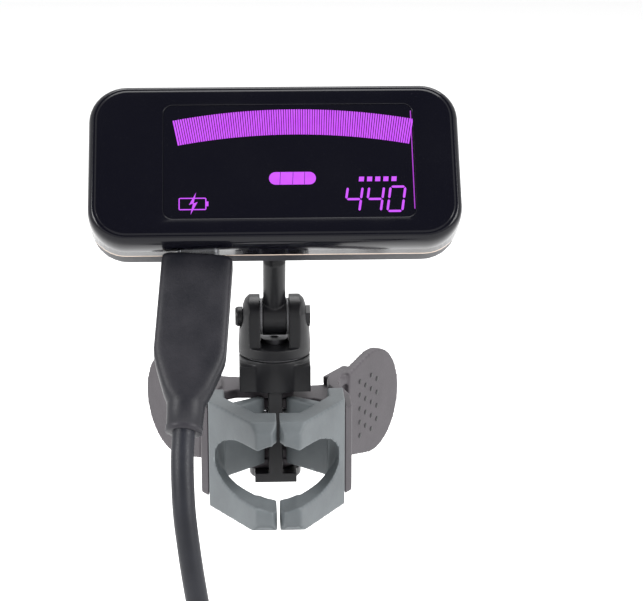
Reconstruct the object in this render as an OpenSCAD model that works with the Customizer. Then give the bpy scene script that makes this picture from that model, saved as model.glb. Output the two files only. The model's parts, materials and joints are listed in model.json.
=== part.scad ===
// Clip-on tuner: a lit display head on a ball-jointed stem, a swivelling clevis and a sprung clip,
// with its charging lead plugged in. The origin is the middle of the gap that the jaw tips close on.

/* [Head] */
// Width of the head
head_w = 73.5; // [70:0.5:78]
// Height of the head's face
head_h = 34; // [32:0.5:36]
// Depth of the front shell
front_d = 7.6; // [7.4:0.1:8]
// Depth of the rear shell
rear_d = 5; // [4.8:0.1:6]
// Wall of both shells
shell_wall = 1.6; // [1.4:0.1:1.8]
// Corner radius of the head's face
head_corner = 7.5; // [6:0.5:9]
// Tilt of the face back from upright
head_tilt = 36.87; // [30:0.5:40]

/* [Display] */
// Width of the display opening
window_w = 49.5; // [46:0.5:50]
// Height of the display opening
window_h = 24.6; // [22:0.2:25]
// How far the display sits to the right of the head's middle
window_shift = 2.8; // [1:0.1:3]

/* [Clip] */
// Distance from the jaw tips to the clip's pivot
jaw_reach = 31; // [30:0.5:33]
// Radius of the round opening that the jaw tips close on
grip_r = 7; // [6.5:0.1:7.5]
// Half height of the jaw pads
pad_half = 11.4; // [10.5:0.1:11.6]
// Gap left between the closed jaw tips, on each side
tip_gap = 0.3; // [0.2:0.05:0.4]
// Diameter of the clip's pivot pin
pin_d = 3; // [2.5:0.1:3.2]

/* [Neck] */
// Height of the clevis bolt above the jaw axis
bolt_z = 23.7; // [23.5:0.1:25]
// Diameter of the stem
stem_d = 4.7; // [4.2:0.1:5]
// Diameter of the ball on the stem
ball_d = 7; // [6.6:0.1:7.4]
// Diameter of the clevis bolt
bolt_d = 3; // [2.6:0.1:3.2]

/* [Lead] */
// Diameter of the charging lead
cord_d = 4.4; // [4:0.1:4.6]
// Length of the moulded plug body
plug_l = 36; // [34:0.5:38]
// Width of the moulded plug body
plug_w = 14; // [12:0.5:15]
// Lean of the plug in its socket
plug_lean = 4.5; // [0:0.5:5]
// Middle radius of the coiled lead
coil_r = 24; // [22:1:26]

/* [Hidden] */
$fn = 48;
soft_fn = 32;   // facets of a hulled corner
fit = 0.05;     // running clearance on a radius
eps = 0.02;     // breaks through a face
pivot = [0, jaw_reach, 0];
head_mid = [0, 14.3, 60.4];
ball_y = 17.4;      // depth of the ball's middle behind the face
ball_up = -7;       // height of the ball's middle up the face
ball_at = head_mid + [0, ball_y * cos(head_tilt) + ball_up * sin(head_tilt),
    ball_up * cos(head_tilt) - ball_y * sin(head_tilt)];
bolt_at = [0, jaw_reach, bolt_z];
head_d = front_d + rear_d;
barrel_w = 5;
ear_gap = barrel_w + 1;
disc_d = 15.2;
stem_way = unit(bolt_at - ball_at);
stem_l = norm(bolt_at - ball_at);
stem_lean = atan2(-stem_way[1], stem_way[2]);
disc_z = 16;
disc_h = 2.2;
washer_h = 0.4;
plug_x = -15.3;
plug_y = 7.4;       // depth of the plug's middle behind the face
plug_t = 7;
plug_gap = 0.7;     // air between the plug body and the head
post_d = 4.4;        // post that the clevis turns on
trunnion_d = 2;      // cross pin through the stem's ball
socket_screw_at = [[-8, 0], [8, 0], [-8, -9], [8, -9]];
socket_screw_l = 3;  // from the flange's face into the rear shell
socket_screw_d = 1.7;
neck_w = 7.4;
floor_z = -75;
coil_at = [-4, 20];
turn_h = 3.81;      // rise of one layer of the coil
tip_front = -3;
tip_back = 3;
// Run of the lead from the plug to its coil
run_points = [
    [-18.1, -12, 14.4], [-18.4, -15, 10.4], [-18.4, -17.5, 6], [-18.1, -20, 0], [-17.4, -21.5, -6],
    [-16.6, -22.5, -12], [-15.4, -23, -20], [-14, -23, -30], [-13.5, -22, -40], [-14, -19.5, -50],
    [-15.5, -15.5, -59], [-19, -9, -65], [-24, -1.5, -68], [-28.5, 8, -69], [-30.2, 20, -69]
];
// Tail of the lead from its coil to the charger plug
tail_points = [
    [24.4, 20, -72.8], [24.8, 14, -72.8], [26.5, 6, -72.8], [30, -2, -72.8], [34, -9, -72.6],
    [36.5, -17, -71.5], [37, -26, -71]
];
charger_at = [37, -26, -71];

// ---- shared shapes ----
// Puts a part of the head in place: x to the right, y back from the face, z up the face
module in_head() translate(head_mid) rotate([-head_tilt, 0, 0]) children();

// A slab with round corners, seen from the front: w wide, h high, from y0 to y1
module slab(w, h, r, y0, y1)
    translate([0, y1, 0]) rotate([90, 0, 0]) linear_extrude(y1 - y0)
        rounded(w, h, r);

// A rectangle with round corners, exact arcs
module rounded(w, h, r) {
    square([w - 2 * r, h], center = true);
    square([w, h - 2 * r], center = true);
    for (x = [-1, 1], z = [-1, 1]) translate([x * (w / 2 - r), z * (h / 2 - r)]) circle(r);
}

// A round bar from point a along +Z for l

// Points of a smooth curve through a list, n steps between neighbours
function spline(p, n) = [
    for (i = [0 : len(p) - 2], k = [0 : n - 1])
        let (t = k / n, a = p[max(i - 1, 0)], b = p[i], c = p[i + 1], d = p[min(i + 2, len(p) - 1)])
        0.5 * (2 * b + (c - a) * t + (2 * a - 5 * b + 4 * c - d) * t * t
            + (3 * b - a - 3 * c + d) * t * t * t),
    p[len(p) - 1]
];
function unit(v) = v / norm(v);
// A round tube swept along a path, with flat closed ends
module tube(path, d, sides = 8) {
    n = len(path);
    ends = [for (i = [0 : n - 1]) unit(path[min(i + 1, n - 1)] - path[max(i - 1, 0)])];
    side = [for (t = ends) unit(cross(t, [1, 0.1, 0]))];
    points = [for (i = [0 : n - 1], k = [0 : sides - 1])
        let (a = 360 * k / sides, up = cross(side[i], ends[i]))
        path[i] + d / 2 * (cos(a) * side[i] + sin(a) * up)];
    walls = [for (i = [0 : n - 2], k = [0 : sides - 1])
        let (j = (k + 1) % sides)
        [i * sides + k, i * sides + j, (i + 1) * sides + j, (i + 1) * sides + k]];
    caps = [[for (k = [sides - 1 : -1 : 0]) k], [for (k = [0 : sides - 1]) (n - 1) * sides + k]];
    polyhedron(points, concat(walls, caps), convexity = 8);
}

// ---- head ----
screw_at = [[32, 11.5], [-32, 11.5], [32, -11.5], [-32, -11.5]];
module front_shell() color("#121318") in_head() difference() {
    hull() {
        slab(head_w, head_h, head_corner, 1.2, front_d);
        slab(head_w - 1.6, head_h - 1.6, head_corner - 0.8, 0, 1);
    }
    slab(head_w - 2 * shell_wall, head_h - 2 * shell_wall, head_corner - shell_wall, 2, front_d + eps);
    translate([window_shift, 0, 0]) slab(window_w, window_h, 2, -eps, 3);
    translate([plug_x, plug_y, -head_h / 2]) cube([10.6, 4.8, 8], center = true);
}
module window_lens() color("#050508") in_head() translate([window_shift, 0, 0])
    slab(window_w - 0.1, window_h - 0.1, 1.9, 0.15, 1.2);
module lcd_module() color("#0a0610") in_head() translate([window_shift, 0, 0])
    slab(window_w - 1, window_h - 0.6, 1, 1.3, 2.5);
module backlight() color("#c9b8e8") in_head() translate([window_shift, 0, 0])
    slab(window_w - 1.6, window_h - 1, 1, 2.6, 3.4);
module main_board() color("#1f5136") in_head() difference() {
    translate([0, 4.6, 0]) cube([64, 1, 26.5], center = true);
    for (p = screw_at) translate([p[0], 4.6, p[1]]) cube([5.4, 2, 5.4], center = true);
}
module usb_socket() color("silver") in_head() translate([plug_x, plug_y, -12.15]) difference() {
    cube([10.4, 4.6, 7.9], center = true);
    translate([0, 0, -0.7]) cube([9.7, 3.9, 7.9], center = true);
}
module battery() color("#9aa0a8") in_head() translate([9, 7.6, 1]) cube([30, 4, 22], center = true);
module piezo_sensor() color("#c8a04a") in_head() translate([-21, 6, 5]) rotate([90, 0, 0])
    cylinder(d = 10, h = 0.6);
// Bosses and openings of the rear shell
module rear_shell() color("#3a3b40") in_head() {
    difference() {
        hull() {
            slab(head_w - 0.6, head_h - 0.6, head_corner, front_d + 0.35, head_d - 1);
            slab(head_w - 3, head_h - 3, head_corner - 1.2, head_d - 0.6, head_d);
        }
        slab(head_w - 4.2, head_h - 4.2, head_corner - 2, front_d, head_d - 1.6);
        for (x = [-28, 28]) translate([x, head_d + eps, 9]) rotate([90, 0, 0]) cylinder(d = 5.1, h = 3);
        for (p = screw_at) translate([p[0], head_d + eps, p[1]]) rotate([90, 0, 0])
            cylinder(d = 1.9, h = 3);
        for (p = socket_screw_at) translate([p[0], head_d + eps, p[1]]) rotate([90, 0, 0])
            cylinder(d = socket_screw_d + 2 * eps, h = 3);
        translate([plug_x, plug_y, -head_h / 2]) cube([10.6, 4.8, 8], center = true);
    }
}
module case_screws() color("#77787c") in_head() for (p = screw_at) translate([p[0], head_d + 0.5, p[1]])
    rotate([90, 0, 0]) difference() {
        union() {
            cylinder(d = 3, h = 0.5);
            cylinder(d = 1.9 - 2 * fit, h = 5);
        }
        translate([0, 0, -eps]) cylinder(d = 1.2, h = 0.4, $fn = 6);
    }
module button_cap(x) in_head() translate([x, head_d + 0.7, 9]) rotate([90, 0, 0]) {
    cylinder(d = 5, h = 3);
}
module power_button() color("#202126") button_cap(-28);
module mode_button() color("#202126") button_cap(28);
module button_switches() color("#c0c0c0") in_head() for (x = [-28, 28])
    translate([x, 7.45, 9]) cube([4.5, 4.6, 4.5], center = true);
module case_seal() color("#8f6f58") in_head() difference() {
    slab(head_w - 0.2, head_h - 0.2, head_corner - 0.1, front_d + 0.02, front_d + 0.33);
    slab(head_w - 4, head_h - 4, head_corner - 2, front_d - 1, front_d + 1);
    translate([plug_x, plug_y, -head_h / 2]) cube([10.8, 4.8, 8], center = true);
}

// ---- ball joint on the back of the head ----
socket_end = ball_y + 2.4;
module at_ball() translate([0, ball_y, ball_up]) children();
module ball_socket() color("#17181c") in_head() difference() {
    union() {
        translate([0, socket_end, ball_up]) rotate([90, 0, 0])
            cylinder(d = 13, h = socket_end - head_d - 0.02);
        slab(20, 8, 3, head_d + 0.02, head_d + 1.4);
        translate([0, 0, -9]) slab(20, 8, 3, head_d + 0.02, head_d + 1.4);
    }
    translate([0, socket_end + eps, ball_up]) rotate([90, 0, 0])
        cylinder(d = 10 + 2 * fit, h = socket_end - head_d - 0.8);
    at_ball() translate([0, 5, -5]) cube([9, 12, 10], center = true);
    for (p = socket_screw_at) translate([p[0], head_d + 2, p[1]]) rotate([90, 0, 0]) cylinder(d = 1.8, h = 4);
}
module socket_screws() color("#6a6b70") in_head() for (p = socket_screw_at)
    translate([p[0], head_d + 1.9, p[1]]) rotate([90, 0, 0]) {
        cylinder(d = 2.8, h = 0.5);
        cylinder(d = socket_screw_d, h = socket_screw_l);
    }
module ball_cage() color("#24252a") in_head() difference() {
    translate([0, socket_end - 0.1, ball_up]) rotate([90, 0, 0])
        cylinder(d = 10, h = socket_end - head_d - 1);
    at_ball() sphere(d = ball_d + 2 * fit);
    at_ball() translate([-6, 0, 0]) rotate([0, 90, 0]) cylinder(d = trunnion_d + 2 * fit, h = 12);
    at_ball() translate([0, 4.5, -3]) cube([5.6, 9, 9.4], center = true);
}

// ---- stem and clevis ----
// A ball, a thinner neck, the round stem and the barrel that the bolt goes through
module stem() color("#101115") difference() {
    union() {
        translate(ball_at) sphere(d = ball_d);
        translate(ball_at - [4.6, 0, 0]) rotate([0, 90, 0]) cylinder(d = trunnion_d, h = 9.2);
        translate(ball_at) rotate([stem_lean, 0, 0]) {
            cylinder(d = 3.4, h = 7);
            translate([0, 0, 6.5]) cylinder(d1 = 3.4, d2 = stem_d, h = 1.5);
            translate([0, 0, 8]) cylinder(d = stem_d, h = stem_l - 8);
        }
        translate(bolt_at - [barrel_w / 2, 0, 0]) rotate([0, 90, 0]) cylinder(d = 8, h = barrel_w);
    }
    translate(bolt_at - [5, 0, 0]) rotate([0, 90, 0]) cylinder(d = bolt_d + 2 * fit, h = 10);
}
module friction_washers() color("#5b5d63") for (x = [-2.94, 2.54]) translate(bolt_at + [x, 0, 0])
    rotate([0, 90, 0]) difference() {
        cylinder(d = 7.6, h = washer_h);
        translate([0, 0, -1]) cylinder(d = bolt_d + 2 * fit, h = 3);
    }
module clevis() color("#121317") translate(pivot) difference() {
    intersection() {
        rotate_extrude() polygon([[0, 16], [7.6, 16], [7.6, 18], [7.4, 21], [7, 25], [6.2, 27.4],
            [5.2, 28.4], [0, 28.4]]);
        union() {
            translate([0, 0, disc_z]) cylinder(d = disc_d + 1, h = disc_h);
            for (x = [-8, ear_gap / 2]) translate([x, 0, 0]) hull() {
                translate([0, 0, bolt_z]) rotate([0, 90, 0]) cylinder(r = 4.7, h = 5, $fn = 64);
                translate([0, -5.6, disc_z + 1]) cube([5, 11.2, 0.5]);
            }
        }
    }
    translate([0, 0, 15]) cylinder(d = post_d + 2 * fit, h = 5);
    translate([-10, 0, bolt_z]) rotate([0, 90, 0]) cylinder(d = bolt_d + 2 * fit, h = 20);
    for (x = [-16.6, 6.6]) translate([x, 0, bolt_z]) rotate([0, 90, 0]) cylinder(d = 5.2, h = 10);
}
module hinge_bolt() color("#0c0d10") translate(bolt_at - [8.2, 0, 0]) rotate([0, 90, 0]) {
    cylinder(d1 = 3.6, d2 = 4.2, h = 0.5);
    translate([0, 0, 0.5]) cylinder(d = 4.2, h = 1.05);
    cylinder(d = bolt_d, h = 15.6);
}
module hinge_nut() color("#1a1b1f") translate(bolt_at + [6.62, 0, 0]) rotate([0, 90, 0]) difference() {
    cylinder(d = 4.6, h = 0.9, $fn = 6);
    translate([0, 0, -1]) cylinder(d = bolt_d + 0.02, h = 4);
}
module swivel_washer() color("#5b5d63") translate(pivot + [0, 0, 15.62]) difference() {
    cylinder(d = 13.6, h = 0.36);
    translate([0, 0, -1]) cylinder(d = post_d + 0.2, h = 3);
}
module swivel_screw() color("#6a6b70") translate(pivot) difference() {
    union() {
        translate([0, 0, 18.24]) cylinder(d = 5.7, h = 0.9);
        translate([0, 0, 15.4]) cylinder(d = 2.6, h = 3);
    }
    translate([0, 0, 18.8]) cylinder(d = 2, h = 1, $fn = 6);
}

// ---- clip ----
module pivot_core() color("#0a0a0d") difference() {
    union() {
        translate(pivot + [0, 0, 9]) cylinder(d = disc_d - 0.2, h = 6.6);
        translate(pivot + [0, 0, 15.4]) cylinder(d = post_d, h = 2.8);
        translate([-7.4, 24.6, 9]) cube([14.8, 6, 5.6]);
        translate([-1.5, 24.4, -11]) cube([3, 2, 21]);
        translate([-4.4, 24.4, -11]) cube([8.8, 7, 2]);
        translate(pivot + [0, 0, -11]) cylinder(d = 11, h = 2);
    }
    translate(pivot + [0, 0, -12]) cylinder(d = pin_d + 0.02, h = 26.5);
    translate(pivot + [0, 0, 14]) cylinder(d = 2.62, h = 6);
}
module pivot_pin() color("#9a9ca2") translate(pivot) {
    translate([0, 0, -12.4]) cylinder(d = pin_d, h = 26.6);
    translate([0, 0, -12.9]) cylinder(d = pin_d - 0.8, h = 0.6);
}
module pin_clip() color("#7d8087") translate(pivot + [0, 0, -11.7]) difference() {
    cylinder(d = 6, h = 0.6);
    translate([0, 0, -1]) cylinder(d = pin_d, h = 3);
}
// A coil of round wire about the pin
module torsion_spring() color("#a7a9ad") translate(pivot) rotate_extrude() union() {
    for (i = [0 : 7]) translate([3.1, -3.5 + i]) circle(d = 1.1, $fn = 16);
    translate([2.9, -3.6]) square([0.4, 7.2]);
}
wall_t = 2;
paddle_turn = 32;
// One lever seen from above: jaw wall, side wall and paddle stem
jaw_wall = [[13.9, 12.8], [15.5, 15], [15.5, 21.5], [13.4, 29], [14.6, 36], [15.5, 38],
    [13.5, 39], [11.2, 33], [11.2, 28.5], [13.9, 20.4]];
knuckle_h = 2.1;
module lever(high) difference() {
    union() {
        translate([0, 0, -9.4]) linear_extrude(18.8) polygon(jaw_wall);
        for (z = high ? [6.7, -8.8] : [4.5, -6.6]) translate([0, 0, z]) linear_extrude(knuckle_h) {
            translate([0, jaw_reach]) circle(d = 8.4);
            polygon([[0, 26.9], [0, 35.1], [12.4, 37], [14, 24], [8, 27.5]]);
        }
        // paddle: a round plate turned out and back
        translate([12.6, 33.5, 0]) rotate([0, 0, -paddle_turn]) {
            rotate([0, 90, 0]) linear_extrude(wall_t) hull() {
                translate([0, 14.6]) circle(r = 11.6);
                translate([0, 5]) square([18.8, 3], center = true);
            }
            for (z = [-1, 1]) translate([-3, 0.5, z * 8 - 0.9]) cube([4.6, 9, 1.8]);
        }
    }
    translate(pivot - [0, 0, 12]) cylinder(d = pin_d + 2 * fit, h = 24);
    pad();
}
module left_lever() color("#56535a") mirror([1, 0, 0]) lever(true);
module right_lever() color("#56535a") lever(false);
// Front of a pad seen from above, then its tongue
pad_front = [[tip_gap, -1.6], [1.2, tip_front], [4.4, tip_front], [13.9, 12.4], [13.9, 19.8],
    [10.6, 19.8], [10.6, 14.6], [4.4, tip_back + 1.6], [tip_gap, tip_back + 1.6]];
pad_tongue = [[13.8, 16.6], [13.8, 20.2], [3.3, 27.6], [2.1, 26.2], [11.6, 17]];
module pad() {
    difference() {
        translate([0, 0, -pad_half]) linear_extrude(2 * pad_half) polygon(pad_front);
        // the rounded slot between the two fingers and the round grip of the tips
        hull() for (x = [0, 6.6]) translate([x, 14.2, 0]) rotate([90, 0, 0]) cylinder(r = 6, h = 40);
        rotate([90, 0, 0]) translate([0, 0, -5]) cylinder(r = grip_r, h = 10);
        // slanted upper and lower edges of the finger fronts
        for (z = [-1, 1]) translate([0, -3, z * pad_half]) rotate([45, 0, 0])
            cube([40, 2.4, 2.4], center = true);
    }
    translate([0, 0, -7.4]) linear_extrude(14.8) polygon(pad_tongue);
}
module left_pad() color("#6e767a") mirror([1, 0, 0]) pad();
module right_pad() color("#6e767a") pad();

// ---- lead ----
// Puts a part of the plug in place: the socket's mouth is the origin and the plug runs down -Z
module in_socket() in_head() translate([plug_x, plug_y, -head_h / 2]) rotate([0, plug_lean, 0]) children();
module usb_plug_body() color("#1e2028") in_socket() {
    translate([0, 0, -plug_gap]) hull() {
        translate([0, 0, -22]) linear_extrude(22) rounded(plug_w, plug_t, 2.2);
        translate([0, 0, -28]) linear_extrude(1) rounded(plug_w * 0.75, plug_t - 0.6, 2.2);
    }
    translate([0, 0, -plug_gap]) hull() {
        translate([0, 0, -28]) linear_extrude(1) rounded(plug_w * 0.75, plug_t - 0.6, 2.2);
        translate([0, 0, -30.5]) cylinder(d = neck_w, h = 1, $fn = soft_fn);
    }
    translate([0, 0, -plug_l - plug_gap]) cylinder(d1 = neck_w - 0.6, d2 = neck_w, h = plug_l - 30);
}
module usb_plug_shell() color("silver") in_socket() difference() {
    translate([0, 0, -plug_gap]) linear_extrude(6.9) rounded(8.3, 2.5, 1.2);
    translate([0, 0, 1]) linear_extrude(6.6) rounded(7.5, 1.7, 0.8);
}
module lead_run() color("#23252c") tube(spline(run_points, 3), cord_d);
module lead_tail() color("#23252c") tube(spline(tail_points, 2), cord_d);
module lead_coil() color("#23252c") translate([coil_at[0], coil_at[1], floor_z]) rotate_extrude()
    translate([coil_r - 1.5 * cord_d, 0]) polygon([[0, 0], [3 * cord_d, 0], [3 * cord_d, cord_d],
        [2.5 * cord_d, cord_d + turn_h], [0.5 * cord_d, cord_d + turn_h], [0, cord_d]]);
module lead_tie() color("#15161a") translate([coil_at[0], coil_at[1] + coil_r, floor_z]) difference() {
    translate([0, 0, 4.6]) cube([6, 15.8, 10.2], center = true);
    translate([0, 0, 4.1]) cube([8, 14.2, 8.4], center = true);
}
module in_charger() translate(charger_at) rotate([0, 0, 180]) rotate([-90, 0, 0]) children();
module charger_plug_body() color("#1e2028") in_charger() {
    cylinder(d1 = 6, d2 = 7.4, h = 9);
    translate([0, 0, 8.8]) linear_extrude(19) rounded(15.4, 8, 1.8);
}
module charger_plug_shell() color("silver") in_charger() translate([0, 0, 27.8]) difference() {
    linear_extrude(11.6) square([12, 4.5], center = true);
    translate([0, 0, 1.6]) linear_extrude(11) square([11.2, 3.7], center = true);
}

front_shell();
window_lens();
lcd_module();
backlight();
main_board();
usb_socket();
battery();
piezo_sensor();
rear_shell();
case_screws();
power_button();
mode_button();
button_switches();
case_seal();
ball_socket();
socket_screws();
ball_cage();
stem();
friction_washers();
clevis();
hinge_bolt();
hinge_nut();
swivel_washer();
swivel_screw();
pivot_core();
pivot_pin();
pin_clip();
torsion_spring();
left_lever();
right_lever();
left_pad();
right_pad();
usb_plug_body();
usb_plug_shell();
lead_run();
lead_coil();
lead_tail();
lead_tie();
charger_plug_body();
charger_plug_shell();
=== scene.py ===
import json
import math
import bpy
import bmesh
from mathutils import Matrix, Vector


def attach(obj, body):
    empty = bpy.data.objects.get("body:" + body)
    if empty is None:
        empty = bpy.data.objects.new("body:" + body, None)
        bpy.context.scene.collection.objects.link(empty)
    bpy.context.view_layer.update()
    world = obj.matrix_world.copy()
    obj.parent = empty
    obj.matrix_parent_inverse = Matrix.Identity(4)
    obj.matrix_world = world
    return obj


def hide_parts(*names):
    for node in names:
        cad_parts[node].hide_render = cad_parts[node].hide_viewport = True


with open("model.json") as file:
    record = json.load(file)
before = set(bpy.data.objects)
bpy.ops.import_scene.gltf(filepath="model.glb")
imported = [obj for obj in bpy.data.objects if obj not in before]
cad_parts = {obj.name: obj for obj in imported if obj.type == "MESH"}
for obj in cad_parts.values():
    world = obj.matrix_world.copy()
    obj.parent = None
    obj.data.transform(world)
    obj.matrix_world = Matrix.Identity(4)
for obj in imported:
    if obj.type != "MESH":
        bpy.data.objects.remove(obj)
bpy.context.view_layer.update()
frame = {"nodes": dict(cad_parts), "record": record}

MM = 0.001

# ---- places shared with the frame, in millimetres ----
HEAD_MID = Vector((0, 14.3, 60.4))
HEAD_TILT = math.radians(36.87)
HEAD_W, HEAD_H, HEAD_CORNER, FRONT_D = 73.5, 34.0, 7.5, 7.6
WINDOW_W, WINDOW_H, WINDOW_SHIFT = 49.5, 24.6, 2.8
PLUG_AT, PLUG_LEAN = (-15.3, 7.4, -HEAD_H / 2), math.radians(4.5)
FLOOR_Z = -75.0
CORD_D = 4.4
COIL_AT = Vector((-4, 20))
SPAN_IMAGE = 643
CAMERA_AT, CAMERA_DROP, CAMERA_TURN, CAMERA_REACH = (-7.6, -370.3, 140.6), 15.8, -2.5, 1992
COIL_TURNS, COIL_STEPS, COIL_TOP_Z, COIL_OUTER_R = 5.5, 40, -69.0, 26.2
RUN_POINTS = [
    (-18.1, -12, 14.4), (-18.4, -15, 10.4), (-18.4, -17.5, 6), (-18.1, -20, 0), (-17.4, -21.5, -6),
    (-16.6, -22.5, -12), (-15.4, -23, -20), (-14, -23, -30), (-13.5, -22, -40), (-14, -19.5, -50),
    (-15.5, -15.5, -59), (-19, -9, -65), (-24, -1.5, -68), (-28.5, 8, -69), (-30.2, 20, -69)]
TAIL_POINTS = [
    (24.4, 20, -72.8), (24.8, 14, -72.8), (26.5, 6, -72.8), (30, -2, -72.8), (34, -9, -72.6),
    (36.5, -17, -71.5), (37, -26, -71)]

# ---- sizes of the marks, plugs and grips ----
# each segment of a digit runs from one corner of its cell to another, in half heights
SEGMENTS = {"a": (0, 2, 1, 2), "b": (1, 2, 1, 1), "c": (1, 1, 1, 0), "d": (0, 0, 1, 0), "e": (0, 0, 0, 1),
            "f": (0, 1, 0, 2), "g": (0, 1, 1, 1)}
DIGITS = {"4": "fgbc", "0": "abcdef"}
SEGMENT_GAP = 0.12
STROBE_R, STROBE_H, STROBE_TOP, STROBE_HALF = 121.0, 5.5, 11.2, 23.2
STROBE_BARS, STROBE_BAR_W, STROBE_SHIFT = 100, 0.33, 1.0
LENS_FRONT, MARK_THICK = 0.13, 0.05
PILL_AT, PILL_SIZE = (3.4, -3.8), (9.2, 2.7, 1.3)
BATTERY_AT, BATTERY_LINE = (-16.0, -9.1), 0.22
EDGE_INSET, EDGE_START, EDGE_PITCH, EDGE_W, EDGE_BARS = 0.35, -10.6, 1.06, 0.2, 20
PADDLE_TURN, PADDLE_AT = 32, (12.6, 33.5, 0)
GRIP_ROWS, GRIP_COLUMNS, GRIP_PITCH, GRIP_STEP, GRIP_D = 5, 4, 3.1, 2.6, 1.15
GRIP_FACE, GRIP_START, GRIP_FLATNESS = 2.04, 8.2, 0.14
CHARGER_AT = (37, -26, -71)

HEAD = Matrix.Translation(HEAD_MID) @ Matrix.Rotation(-HEAD_TILT, 4, "X")
SOCKET = HEAD @ Matrix.Translation(PLUG_AT) @ Matrix.Rotation(PLUG_LEAN, 4, "Y")
CHARGER = (Matrix.Translation(CHARGER_AT) @ Matrix.Rotation(math.pi, 4, "Z")
           @ Matrix.Rotation(-math.pi / 2, 4, "X"))


# ---- shader expressions ----
class Value:
    """A socket with arithmetic: each operator adds one Math node."""
    def __init__(self, maker, socket):
        self.maker, self.socket = maker, socket

    def _math(self, kind, a, b=None):
        return self.maker.node("ShaderNodeMath", {"operation": kind}, {0: a} if b is None else {0: a, 1: b})

    def __add__(self, o): return self._math("ADD", self, o)
    def __sub__(self, o): return self._math("SUBTRACT", self, o)
    def __rsub__(self, o): return self._math("SUBTRACT", o, self)
    def __mul__(self, o): return self._math("MULTIPLY", self, o)
    __radd__, __rmul__ = __add__, __mul__


class Finish:
    """One material: node() adds a node with its settings and inputs, shade() sets the surface."""
    def __init__(self, name, **fixed):
        self.material = bpy.data.materials.new(name)
        self.material.use_nodes = True
        self.tree = self.material.node_tree
        self.surface = self.tree.nodes["Principled BSDF"]
        for key, value in fixed.items():
            self.surface.inputs[key.replace("_", " ")].default_value = value
        self.place = self.node("ShaderNodeTexCoord", out="Object")

    def node(self, kind, settings=None, inputs=None, out=0, ramp=None):
        n = self.tree.nodes.new(kind)
        for key, value in (settings or {}).items():
            setattr(n, key, value)
        if ramp:
            for stop, (at, colour) in zip(n.color_ramp.elements, ramp):
                stop.position, stop.color = at, (*colour, 1)
        for key, value in (inputs or {}).items():
            if isinstance(value, Value):
                self.tree.links.new(value.socket, n.inputs[key])
            else:
                n.inputs[key].default_value = value
        return Value(self, n.outputs[out])

    def noise(self, per_m, detail=3.0, rough=0.5, at=None):
        return self.node("ShaderNodeTexNoise", None,
                         {"Vector": at or self.place, "Scale": per_m, "Detail": detail, "Roughness": rough})

    def mix(self, a, b, amount):
        return self.node("ShaderNodeMix", {"data_type": "RGBA"}, {0: amount, 6: a, 7: b}, out=2)

    def range(self, value, low, high):
        return self.node("ShaderNodeMapRange", None, {"Value": value, "From Min": 0.3, "From Max": 0.7,
                                                      "To Min": low, "To Max": high})

    def bump(self, height, depth, strength=1.0):
        return self.node("ShaderNodeBump", None, {"Height": height, "Distance": depth, "Strength": strength})

    def shade(self, **links):
        for key, value in links.items():
            self.tree.links.new(value.socket, self.surface.inputs[key.replace("_", " ")])
        return self.material


def moulded(name, colour, mottle_and_edge_highlight, rough, grain_per_m=2600, grain_mm=0.02, spread=0.08, sheen=0.3, **fixed):
    """Moulded plastic or rubber: fine grain, faint uneven colour, a painted highlight that lightens sharp
    convex edges, and patchy gloss.
    """
    f = Finish(name, Specular_IOR_Level=sheen, **fixed)
    broad = f.noise(90, 4, 0.6)
    fine = f.noise(grain_per_m, 2, 0.6)
    edge = f.node("ShaderNodeNewGeometry", out="Pointiness")
    # sharp convex edges (high pointiness) are mixed toward the lighter colour: a painted highlight along the
    # edges
    edge_highlight = f.node("ShaderNodeMapRange", None, {"Value": edge, "From Min": 0.52, "From Max": 0.60,
                                              "To Min": 0.0, "To Max": 0.5})
    # the lighter colour serves both the random uneven tone and the painted edge highlight
    tone = f.mix((*colour, 1), (*mottle_and_edge_highlight, 1), f.range(broad, 0.0, 0.35) + edge_highlight)
    both = broad * 0.6 + fine * 0.4
    return f.shade(Base_Color=tone, Roughness=f.range(both, rough - spread, rough + spread),
                   Normal=f.bump(fine, grain_mm * MM, 0.6))


def gloss_black():
    f = Finish("gloss_black", Coat_Weight=0.04, Coat_Roughness=0.05, Specular_IOR_Level=0.22)
    dust = f.noise(6000, 1, 0.4)
    smear = f.noise(60, 3, 0.6)
    spot = f.node("ShaderNodeMapRange", None, {"Value": dust, "From Min": 0.72, "From Max": 0.8,
                                               "To Min": 0.0, "To Max": 0.25})
    return f.shade(Base_Color=f.mix((0.0035, 0.0035, 0.006, 1), (0.06, 0.06, 0.065, 1), spot),
                   Roughness=f.range(smear, 0.08, 0.2), Normal=f.bump(f.noise(300, 2), 0.004 * MM, 0.3))


def metal(name, colour, rough, brushed=700):
    f = Finish(name, Metallic=1.0)
    at = f.node("ShaderNodeMapping", None, {"Vector": f.place, "Scale": (1, 1, 14)})
    lines = f.noise(brushed, 2, 0.5, at)
    tone = f.mix((*colour, 1), (*(c * 0.7 for c in colour), 1), f.range(lines, 0, 0.5))
    return f.shade(Base_Color=tone, Roughness=f.range(lines, rough - 0.08, rough + 0.12),
                   Normal=f.bump(lines, 0.004 * MM, 0.5))


def board():
    f = Finish("board_green")
    tracks = f.node("ShaderNodeTexBrick", None, {"Vector": f.place, "Scale": 420.0, "Mortar Size": 0.04})
    return f.shade(Base_Color=f.mix((0.01, 0.09, 0.04, 1), (0.02, 0.16, 0.07, 1), tracks),
                   Roughness=f.range(f.noise(900), 0.3, 0.5), Normal=f.bump(tracks, 0.02 * MM, 0.4))


def glowing(name, colour, strength, flicker=0.12):
    f = Finish(name, Roughness=0.4, Emission_Strength=strength)
    wash = f.range(f.noise(220, 2), 0.0, flicker)
    tone = f.mix((*colour, 1), (*(c * 0.55 for c in colour), 1), wash)
    f.surface.inputs["Base Color"].default_value = (0.02, 0.005, 0.03, 1)
    return f.shade(Emission_Color=tone, Roughness=f.range(f.noise(500), 0.35, 0.5))


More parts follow.
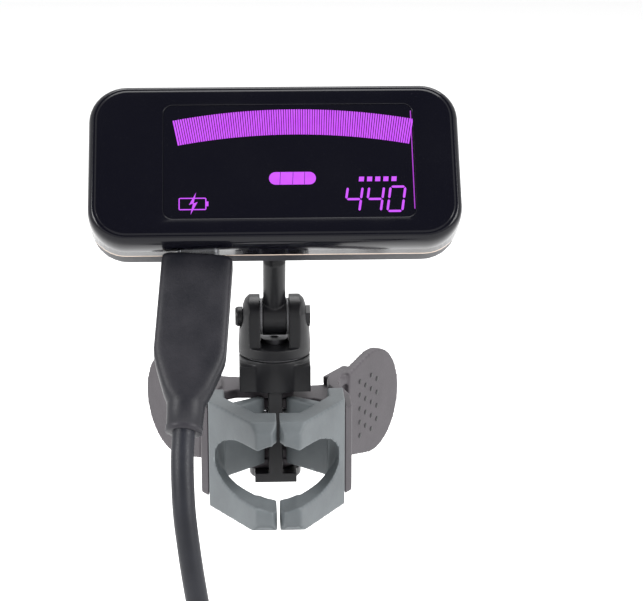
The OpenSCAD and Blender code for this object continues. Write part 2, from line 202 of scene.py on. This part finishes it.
def jacket():
    """Lead jacket: matte, with a faint uneven tone and a fine grain."""
    f = Finish("lead_jacket", Specular_IOR_Level=0.3)
    broad, fine = f.noise(120, 3), f.noise(3200, 2)
    tone = f.mix((0.005, 0.0055, 0.009, 1), (0.013, 0.014, 0.02, 1), f.range(broad, 0, 0.8))
    return f.shade(Base_Color=tone, Roughness=f.range(fine, 0.36, 0.54),
                   Normal=f.bump(fine, 0.015 * MM, 0.5))


LOOKS = {
    "shell_gloss": gloss_black(),
    "shell_back": moulded("back_shell", (0.022, 0.022, 0.026), (0.05, 0.05, 0.055), 0.42),
    "lens": gloss_black(),
    "display": moulded("display_glass", (0.004, 0.003, 0.006), (0.01, 0.006, 0.014), 0.25),
    "light_guide": moulded("light_guide", (0.5, 0.42, 0.7), (0.7, 0.65, 0.85), 0.35),
    "circuit_board": board(),
    "bright_steel": metal("bright_steel", (0.62, 0.63, 0.66), 0.3),
    "dark_steel": metal("dark_steel", (0.12, 0.12, 0.13), 0.38),
    "cell_wrap": moulded("cell_wrap", (0.3, 0.32, 0.36), (0.5, 0.5, 0.52), 0.4),
    "brass": metal("brass", (0.75, 0.55, 0.22), 0.3),
    "button_rubber": moulded("button_rubber", (0.016, 0.016, 0.019), (0.05, 0.05, 0.055), 0.62),
    # the seal's light cream colour is a painted highlight on the lower lip of the shell
    "seal": moulded("seam_highlight", (0.62, 0.47, 0.37), (0.85, 0.72, 0.62), 0.3),
    "black_nylon": moulded("black_nylon", (0.003, 0.003, 0.0042), (0.02, 0.02, 0.022), 0.38),
    "washer_nylon": moulded("washer_nylon", (0.1, 0.1, 0.11), (0.2, 0.2, 0.21), 0.5),
    "lever_plastic": moulded("lever_plastic", (0.036, 0.031, 0.036), (0.12, 0.11, 0.12), 0.5, grain_mm=0.03),
    "pad_rubber": moulded("pad_rubber", (0.078, 0.088, 0.094), (0.2, 0.22, 0.23), 0.5, grain_mm=0.02),
    "plug_mould": moulded("plug_mould", (0.0045, 0.005, 0.008), (0.03, 0.027, 0.034), 0.46, 1900, 0.05),
    "cord_jacket": jacket(),
}
GLOW = glowing("strobe_glow", (0.56, 0.06, 0.92), 1.15)
GLOW_SOFT = glowing("edge_glow", (0.42, 0.02, 0.62), 0.9)

SLOT = {row["node"]: row["material_slot"] for row in frame["record"]["subparts"]}
for name, obj in frame["nodes"].items():
    obj.data.materials.clear()
    obj.data.materials.append(LOOKS[SLOT[name]])


# ---- mesh helpers ----
def add(name, verts, faces, slot, body, place=Matrix.Identity(4), look=None, smooth=True):
    """A piece from points in millimetres, placed by a matrix and riding on a body."""
    mesh = bpy.data.meshes.new(name)
    mesh.from_pydata([(place @ Vector(v)) * MM for v in verts], [], faces)
    bm = bmesh.new()
    bm.from_mesh(mesh)
    bmesh.ops.remove_doubles(bm, verts=bm.verts, dist=1e-7)
    bmesh.ops.recalc_face_normals(bm, faces=bm.faces)
    bm.to_mesh(mesh)
    bm.free()
    obj = bpy.data.objects.new(name, mesh)
    bpy.context.scene.collection.objects.link(obj)
    for p in mesh.polygons:
        p.use_smooth = smooth
    mesh.materials.append(look or LOOKS[slot])
    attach(obj, body)
    return obj


def loft(rings, closed_along=False):
    """Faces over a list of equal closed rings, with end caps unless the last ring meets the first."""
    n, m = len(rings), len(rings[0])
    verts = [v for ring in rings for v in ring]
    faces = [(i * m + k, i * m + (k + 1) % m, (i + 1) % n * m + (k + 1) % m, (i + 1) % n * m + k)
             for i in range(n if closed_along else n - 1) for k in range(m)]
    if not closed_along:
        faces += [tuple(range(m)), tuple((n - 1) * m + k for k in reversed(range(m)))]
    return verts, faces


def round_rect(w, h, r, steps=10, bulge=0.0):
    """Outline of a rectangle with round corners, in X and Z."""
    out = []
    for cx, cz, start in ((1, 1, 0), (-1, 1, 90), (-1, -1, 180), (1, -1, 270)):
        for k in range(steps + 1):
            a = math.radians(start + 90 * k / steps)
            x, z = cx * (w / 2 - r) + r * math.cos(a), cz * (h / 2 - r) + r * math.sin(a)
            out.append((x + bulge * (1 - (2 * z / h) ** 2) * cx, z + bulge * (1 - (2 * x / w) ** 2) * cz))
    return out


def softened(node, name, voxel_mm, passes, body):
    """A rounded copy of a moulded node: fine remesh, then smoothing that melts its edges."""
    src = frame["nodes"][node]
    obj = bpy.data.objects.new(name, src.data.copy())
    bpy.context.scene.collection.objects.link(obj)
    bm = bmesh.new()
    bm.from_mesh(obj.data)
    bmesh.ops.remove_doubles(bm, verts=bm.verts, dist=1e-6)
    bm.to_mesh(obj.data)
    bm.free()
    remesh = obj.modifiers.new("fine", "REMESH")
    remesh.mode, remesh.voxel_size = "VOXEL", voxel_mm * MM
    melt = obj.modifiers.new("melt", "SMOOTH")
    melt.factor, melt.iterations = 0.5, passes
    mesh = bpy.data.meshes.new_from_object(obj.evaluated_get(bpy.context.evaluated_depsgraph_get()))
    obj.modifiers.clear()
    obj.data = mesh
    for p in mesh.polygons:
        p.use_smooth = True
    mesh.materials.clear()
    mesh.materials.append(LOOKS[SLOT[node]])
    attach(obj, body)
    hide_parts(node)
    return obj


# ---- camera, then the lead ----
def make_camera():
    cam = bpy.data.cameras.new("camera")
    cam.sensor_width = 36.0
    cam.lens = 36.0 * CAMERA_REACH / SPAN_IMAGE
    cam.clip_start, cam.clip_end = 0.01, 20
    obj = bpy.data.objects.new("camera", cam)
    obj.location = Vector(CAMERA_AT) * MM
    obj.rotation_euler = (math.radians(90 - CAMERA_DROP), 0, math.radians(CAMERA_TURN))
    bpy.context.scene.collection.objects.link(obj)
    bpy.context.scene.camera = obj


def smooth_path(points, steps):
    """A smooth curve through the points."""
    pts = [Vector(p) for p in points]
    out = []
    for i in range(len(pts) - 1):
        a, b, c, d = pts[max(i - 1, 0)], pts[i], pts[i + 1], pts[min(i + 2, len(pts) - 1)]
        for k in range(steps):
            t = k / steps
            out.append(0.5 * (2 * b + (c - a) * t + (2 * a - 5 * b + 4 * c - d) * t * t
                              + (3 * b - a - 3 * c + d) * t ** 3))
    return out + [pts[-1]]


def eased(t):
    """0 to 1 with a soft start and end."""
    t = min(max(t, 0.0), 1.0)
    return t * t * (3 - 2 * t)


def coil_path():
    """Two turns on top, then three below them, from the left side round to the right side."""
    low, out = FLOOR_Z + CORD_D / 2, []
    for i in range(1, int(COIL_TURNS * COIL_STEPS)):
        t = i / COIL_STEPS
        past = [eased((t - turn) / 0.2) for turn in range(5)]
        r = COIL_OUTER_R - CORD_D * past[1] - CORD_D / 2 * past[2]
        r += CORD_D * past[3] + CORD_D * past[4]
        z = COIL_TOP_Z + (low - COIL_TOP_Z) * past[2]
        a = math.radians(180 - 360 * t)
        out.append(Vector((COIL_AT.x + r * math.cos(a), COIL_AT.y + r * math.sin(a), z)))
    return out


def make_lead():
    """The whole lead as one round curve, and its length in metres."""
    path = smooth_path(RUN_POINTS, 6) + coil_path() + smooth_path(TAIL_POINTS, 6)
    curve = bpy.data.curves.new("charging_lead", "CURVE")
    curve.dimensions, curve.bevel_depth, curve.bevel_resolution = "3D", CORD_D / 2 * MM, 6
    curve.use_fill_caps = True
    spline = curve.splines.new("POLY")
    spline.points.add(len(path) - 1)
    for point, at in zip(spline.points, path):
        point.co = (*(at * MM), 1)
    spline.use_smooth = True
    curve.materials.append(LOOKS["cord_jacket"])
    obj = bpy.data.objects.new("charging_lead", curve)
    bpy.context.scene.collection.objects.link(obj)
    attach(obj, "lead")
    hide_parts("lead_run", "lead_coil", "lead_tail")
    return obj, sum((b - a).length for a, b in zip(path, path[1:])) * MM


make_camera()
lead, lead_length = make_lead()


# ---- head ----
def head_shell():
    """Front shell: soft outer edge, a fine rim, a flat gloss face and a stepped window opening."""
    # inset from the outline and depth behind the face, from the seam round to the face
    steps = [(0.35, FRONT_D), (0.0, FRONT_D - 0.4), (0.0, 3.0), (0.05, 1.9), (0.22, 1.1), (0.5, 0.6),
             (0.85, 0.28), (1.15, 0.12), (1.3, 0.16), (1.42, 0.16), (1.6, 0.06), (1.9, 0.02)]
    rings = [[(x, y, z) for x, z in round_rect(HEAD_W - 2 * s, HEAD_H - 2 * s, HEAD_CORNER - s * 0.8)]
             for s, y in steps]
    for grow, y in ((0.08, 0.02), (0.0, 0.06), (0.0, 0.3), (0.0, 2.6)):
        rings.append([(x + WINDOW_SHIFT, y, z)
                      for x, z in round_rect(WINDOW_W + 2 * grow, WINDOW_H + 2 * grow, 1.9)])
    rings.append([(x, FRONT_D, z) for x, z in round_rect(HEAD_W - 4, HEAD_H - 4, HEAD_CORNER - 2)])
    verts, faces = loft(rings, closed_along=True)
    shell = add("front_shell_moulding", verts, faces, "shell_gloss", "head", HEAD)
    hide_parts("front_shell")


def seam_line():
    """The seal between the two shells, a thin bead that stands just inside the shell wall, coloured light as
    a painted highlight on the shell's lower lip.
    """
    rings = [[(x, y, z) for x, z in round_rect(HEAD_W - 2 * s, HEAD_H - 2 * s, HEAD_CORNER - s)]
             for s, y in ((0.14, 7.58), (0.08, 7.66), (0.1, 7.88), (0.2, 7.96), (2.0, 7.96), (2.0, 7.58))]
    bead = add("seam_highlight_bead", *loft(rings, closed_along=True), "seal", "head", HEAD)
    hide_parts("case_seal")


def flat_shape(name, polygons, look=GLOW, y=LENS_FRONT, thick=MARK_THICK):
    """Lit shapes on the display: each polygon is raised a hair off the lens."""
    verts, faces = [], []
    for poly in polygons:
        n, at = len(poly), len(verts)
        verts += [(x, y, z) for x, z in poly] + [(x, y + thick, z) for x, z in poly]
        faces += [tuple(at + k for k in range(n)), tuple(at + n + k for k in reversed(range(n)))]
        faces += [(at + k, at + (k + 1) % n, at + n + (k + 1) % n, at + n + k) for k in range(n)]
    return add(name, verts, faces, "display", "head", HEAD, look, smooth=False)


def bar(x0, z0, x1, z1, width):
    """A stroke with pointed ends, as a segment digit has."""
    a, b = Vector((x0, z0)), Vector((x1, z1))
    along = (b - a).normalized()
    side = Vector((-along.y, along.x)) * width / 2
    nose = along * width / 2
    return [tuple(p) for p in (a, a + nose + side, b - nose + side, b, b - nose - side, a + nose - side)]


def digits(text, x, z, w, h, pitch, width, slant):
    """Strokes of slanted segment digits."""
    out = []
    for i, c in enumerate(text):
        for s in DIGITS[c]:
            x0, z0, x1, z1 = SEGMENTS[s]
            p, q = Vector((x0 * w, z0 * h / 2)), Vector((x1 * w, z1 * h / 2))
            d = (q - p).normalized() * SEGMENT_GAP
            p, q = p + d, q - d
            out.append(bar(x + i * pitch + p.x + p.y * slant, z + p.y, x + i * pitch + q.x + q.y * slant,
                           z + q.y, width))
    return out


def strobe_band():
    """The arched row of fine bars, set along an arc by geometry nodes."""
    tree = bpy.data.node_groups.new("strobe_bars", "GeometryNodeTree")
    face = tree.interface
    face.new_socket("Geometry", in_out="OUTPUT", socket_type="NodeSocketGeometry")
    ids = {}
    for label, value in (("Radius", STROBE_R * MM), ("Bar Width", STROBE_BAR_W * MM),
                         ("Bar Height", STROBE_H * MM), ("Sweep", 2 * math.asin(STROBE_HALF / STROBE_R))):
        s = face.new_socket(label, in_out="INPUT", socket_type="NodeSocketFloat")
        s.default_value = value
        ids[label] = s.identifier
    s = face.new_socket("Bars", in_out="INPUT", socket_type="NodeSocketInt")
    s.default_value = STROBE_BARS
    ids["Bars"] = s.identifier
    n, link = tree.nodes.new, tree.links.new
    given, result = n("NodeGroupInput"), n("NodeGroupOutput")
    arc, start = n("GeometryNodeCurveArc"), n("ShaderNodeMath")
    start.operation = "MULTIPLY_ADD"
    start.inputs[1].default_value, start.inputs[2].default_value = -0.5, math.pi / 2
    arc.inputs["Resolution"].default_value = 200
    link(given.outputs["Sweep"], start.inputs[0])
    link(start.outputs[0], arc.inputs["Start Angle"])
    link(given.outputs["Sweep"], arc.inputs["Sweep Angle"])
    link(given.outputs["Radius"], arc.inputs["Radius"])
    points, bars = n("GeometryNodeCurveToPoints"), n("GeometryNodeInstanceOnPoints")
    box = n("GeometryNodeMeshCube")
    link(arc.outputs[0], points.inputs["Curve"])
    link(given.outputs["Bars"], points.inputs["Count"])
    size = n("ShaderNodeCombineXYZ")
    link(given.outputs["Bar Width"], size.inputs[2])
    link(given.outputs["Bar Height"], size.inputs[0])
    size.inputs[1].default_value = MARK_THICK * MM
    link(size.outputs[0], box.inputs["Size"])
    link(points.outputs["Points"], bars.inputs["Points"])
    link(points.outputs["Rotation"], bars.inputs["Rotation"])
    link(box.outputs[0], bars.inputs["Instance"])
    real, paint = n("GeometryNodeRealizeInstances"), n("GeometryNodeSetMaterial")
    paint.inputs["Material"].default_value = GLOW
    link(bars.outputs[0], real.inputs[0])
    link(real.outputs[0], paint.inputs["Geometry"])
    link(paint.outputs[0], result.inputs[0])
    holder = bpy.data.objects.new("strobe_bars", bpy.data.meshes.new("strobe_bars"))
    bpy.context.scene.collection.objects.link(holder)
    mod = holder.modifiers.new("bars", "NODES")
    mod.node_group = tree
    mod[ids["Bars"]] = STROBE_BARS
    mesh = bpy.data.meshes.new_from_object(holder.evaluated_get(bpy.context.evaluated_depsgraph_get()))
    holder.modifiers.clear()
    holder.data = mesh
    # the arc is drawn in X and Y about its own middle: stand it up on the display
    up = Matrix(((1, 0, 0, 0), (0, 0, 1, 0), (0, 1, 0, 0), (0, 0, 0, 1)))
    drop = STROBE_TOP - STROBE_H / 2 - STROBE_R
    place = HEAD @ Matrix.Translation((WINDOW_SHIFT + STROBE_SHIFT, 0.1, drop)) @ up
    mesh.transform(Matrix.Diagonal((1 / MM, 1 / MM, 1 / MM, 1)))
    mesh.transform(Matrix.Diagonal((MM, MM, MM, 1)) @ place)
    mesh.flip_normals()
    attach(holder, "head")


def display_marks():
    """Everything lit on the display: the arc, the pill, the note, the small row, the battery and the edge."""
    strobe_band()
    x0, z0 = PILL_AT
    flat_shape("pitch_pill", [[(x0 + x, z0 + z) for x, z in round_rect(*PILL_SIZE, 6)]])
    divider = ((-0.05, -1.3), (0.05, -1.3), (0.2, 1.3), (0.1, 1.3))
    flat_shape("pill_dividers", [[(x0 + x + dx, z0 + z) for dx, z in divider] for x in (-2.5, 0, 2.3)],
               LOOKS["lens"], 0.115)
    flat_shape("note_digits", digits("440", 13.4, -11.0, 2.9, 5.2, 4.2, 0.46, 0.16))
    flat_shape("small_rows", [[(x, -4.6), (x + 1.0, -4.6), (x + 1.1, -3.6), (x + 0.1, -3.6)]
                              for x in (16.4, 18.0, 19.6, 21.2, 22.8)])
    bx, bz = BATTERY_AT
    case = [(-2.8, -1.2), (2.4, -1.2), (2.4, 1.2), (-2.8, 1.2)]
    edges = [bar(bx + a[0], bz + a[1], bx + b[0], bz + b[1], BATTERY_LINE)
             for a, b in zip(case, case[1:] + case[:1])]
    nub = [(2.5, -0.5), (2.9, -0.5), (2.9, 0.5), (2.5, 0.5)]
    bolt = [(0.5, 2.4), (-0.9, -0.2), (-0.1, 0.1), (-0.6, -2.3), (0.8, 0.4), (0.0, 0.1)]
    flat_shape("battery_mark", edges + [[(bx + x, bz + z) for x, z in shape] for shape in (nub, bolt)])
    edge = WINDOW_SHIFT + WINDOW_W / 2 - EDGE_INSET
    glow = [bar(edge, EDGE_START + i * EDGE_PITCH, edge, EDGE_START + (i + 1) * EDGE_PITCH + EDGE_W, EDGE_W)
            for i in range(EDGE_BARS)]
    flat_shape("edge_light", glow, GLOW_SOFT, 0.12)


head_shell()
seam_line()
display_marks()


# ---- plug ----
def oval(w, t, power, n=48):
    """Cross section of the plug body: between a box and an ellipse."""
    turns = [2 * math.pi * k / n for k in range(n)]
    return [tuple(math.copysign(abs(v) ** (2 / power), v) * span / 2
                  for v, span in ((math.cos(a), w), (math.sin(a), t))) for a in turns]


def plug_body(name, stations, body, node, place):
    """A moulded plug body: stations are height, width, thickness and squareness."""
    rings = [[(x, y, z) for x, y in oval(w, t, power)] for z, w, t, power in stations]
    piece = add(name, *loft(rings), "plug_mould", body, place)
    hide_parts(node)
    return piece


charge_plug = plug_body("charge_plug_moulding", [
    (-0.72, 11.6, 5.0, 4), (-0.8, 13.0, 6.2, 5), (-1.15, 13.7, 6.8, 6), (-1.9, 14.0, 7.0, 7),
    (-20.5, 14.0, 7.0, 7), (-22, 13.7, 6.95, 6), (-24, 12.6, 6.9, 5), (-26, 11.2, 6.85, 4.4),
    (-28, 9.8, 6.8, 4), (-29.6, 8.6, 6.8, 3), (-30.4, 7.9, 6.9, 2.4), (-31, 7.4, 7.0, 2.1),
    (-35.2, 7.0, 6.8, 2), (-35.5, 7.3, 7.1, 2), (-36.5, 7.2, 7.0, 2), (-36.6, 5.0, 5.0, 2)],
    "lead", "usb_plug_body", SOCKET)

charger_plug = plug_body("charger_plug_moulding", [
    (0.0, 5.0, 5.0, 2), (0.05, 5.9, 5.9, 2), (8.6, 7.3, 7.3, 2.2), (8.8, 11.0, 7.2, 4), (9.1, 14.2, 7.7, 6),
    (9.8, 15.3, 8.0, 7), (26.8, 15.3, 8.0, 7), (27.5, 14.9, 7.8, 6), (27.8, 14.2, 7.2, 5)],
    "lead", "charger_plug_body", CHARGER)

# ---- moulded clip and neck ----
# node, voxel size in millimetres, smoothing passes and body
soft = [("left_pad", 0.3, 9, "left_jaw"), ("right_pad", 0.3, 9, "right_jaw"),
        ("left_lever", 0.3, 4, "left_jaw"), ("right_lever", 0.3, 4, "right_jaw"),
        ("clevis", 0.15, 5, "swivel"), ("pivot_core", 0.2, 4, "core"), ("stem", 0.15, 4, "arm"),
        ("hinge_bolt", 0.1, 4, "swivel"), ("ball_socket", 0.2, 4, "head"), ("rear_shell", 0.4, 3, "head")]
for node, voxel, passes, body in soft:
    softened(node, node + "_moulding", voxel, passes, body)


def grip_dots(name, body, side):
    """Staggered grip dimples on the outer face of a lever's paddle, instanced by geometry nodes as flat
    near-black dots that are painted shade in the hollows.
    """
    tree = bpy.data.node_groups.new(name, "GeometryNodeTree")
    face = tree.interface
    face.new_socket("Geometry", in_out="INPUT", socket_type="NodeSocketGeometry")
    face.new_socket("Geometry", in_out="OUTPUT", socket_type="NodeSocketGeometry")
    size = face.new_socket("Dimple Radius", in_out="INPUT", socket_type="NodeSocketFloat")
    n, link = tree.nodes.new, tree.links.new
    given, result = n("NodeGroupInput"), n("NodeGroupOutput")
    dots, dot = n("GeometryNodeInstanceOnPoints"), n("GeometryNodeMeshUVSphere")
    dot.inputs["Segments"].default_value, dot.inputs["Rings"].default_value = 16, 8
    flat = n("GeometryNodeTransform")
    flat.inputs["Scale"].default_value = (GRIP_FLATNESS, 1, 1)
    real, paint = n("GeometryNodeRealizeInstances"), n("GeometryNodeSetMaterial")
    # near-black nylon on the dots: painted shade inside the dimples, darker than the lever plastic
    paint.inputs["Material"].default_value = LOOKS["black_nylon"]
    link(given.outputs["Geometry"], dots.inputs["Points"])
    link(given.outputs["Dimple Radius"], dot.inputs["Radius"])
    link(dot.outputs["Mesh"], flat.inputs["Geometry"])
    link(flat.outputs[0], dots.inputs["Instance"])
    link(dots.outputs[0], real.inputs[0])
    link(real.outputs[0], paint.inputs["Geometry"])
    link(paint.outputs[0], result.inputs[0])
    # points on the paddle's outer face: Y along the paddle, Z up it
    points = [(GRIP_FACE, GRIP_START + c * GRIP_STEP, (r - (GRIP_ROWS - 1 - c % 2) / 2) * GRIP_PITCH)
              for c in range(GRIP_COLUMNS) for r in range(GRIP_ROWS - c % 2)]
    mesh = bpy.data.meshes.new(name)
    mesh.from_pydata([Vector(p) * MM for p in points], [], [])
    obj = bpy.data.objects.new(name, mesh)
    bpy.context.scene.collection.objects.link(obj)
    mod = obj.modifiers.new("dots", "NODES")
    mod.node_group = tree
    mod[size.identifier] = GRIP_D / 2 * MM
    made = bpy.data.meshes.new_from_object(obj.evaluated_get(bpy.context.evaluated_depsgraph_get()))
    obj.modifiers.clear()
    obj.data = made
    turn = Matrix.Rotation(math.radians(-PADDLE_TURN), 4, "Z")
    made.transform(Matrix.Translation(Vector(PADDLE_AT) * MM) @ turn)
    if side < 0:
        made.transform(Matrix.Diagonal((-1, 1, 1, 1)))
        made.flip_normals()
    for p in made.polygons:
        p.use_smooth = True
    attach(obj, body)


grip_dots("right_grip_dimple_shade", "right_jaw", 1)
grip_dots("left_grip_dimple_shade", "left_jaw", -1)


# ---- stage ----
def make_stage():
    """Floor, lamps, a dark card and a white world."""
    mesh = bpy.data.meshes.new("floor")
    s = 4.0
    mesh.from_pydata([(x, y, FLOOR_Z * MM) for x, y in ((-s, -s), (s, -s), (s, s), (-s, s))],
                     [], [(0, 1, 2, 3)])
    floor = bpy.data.objects.new("floor", mesh)
    bpy.context.scene.collection.objects.link(floor)
    f = Finish("pale_floor", Roughness=0.9)
    mesh.materials.append(f.shade(Base_Color=f.mix((0.86, 0.86, 0.86, 1), (0.9, 0.9, 0.9, 1), f.noise(3))))
    lamps = (("key", (-0.75, -0.35, 0.5), 0.4, 6.0), ("fill", (0.6, -0.3, 0.35), 0.4, 4.0),
             ("top", (0.05, 0.25, 0.7), 0.6, 6.0))
    for name, at, size, power in lamps:
        lamp = bpy.data.lights.new(name, "AREA")
        lamp.size, lamp.energy = size, power
        obj = bpy.data.objects.new(name, lamp)
        obj.location = at
        obj.rotation_euler = (Vector((0, 0, 0.03)) - Vector(at)).to_track_quat("-Z", "Y").to_euler()
        bpy.context.scene.collection.objects.link(obj)
    # a dark card above the camera keeps the gloss face black
    card = bpy.data.meshes.new("dark_card")
    side, away = Vector((0.62, 0, 0)), Vector((0, -0.52, 0.86)) * 1.1
    rise = Vector((0, 0.86, 0.52)) * 0.42
    centre = HEAD_MID * MM + away
    card.from_pydata([centre - side - rise, centre + side - rise, centre + side + rise, centre - side + rise],
                     [], [(0, 1, 2, 3)])
    flag = bpy.data.objects.new("dark_card", card)
    bpy.context.scene.collection.objects.link(flag)
    flag.visible_camera = flag.visible_shadow = flag.visible_diffuse = False
    card.materials.append(Finish("card_black", Roughness=1.0, Base_Color=(0, 0, 0, 1),
                                 Specular_IOR_Level=0.0).material)
    world = bpy.data.worlds.new("studio")
    world.use_nodes = True
    world.node_tree.nodes["Background"].inputs[0].default_value = (1, 1, 1, 1)
    world.node_tree.nodes["Background"].inputs[1].default_value = 1.0
    bpy.context.scene.world = world
    bpy.context.scene.view_settings.view_transform = "Standard"


make_stage()
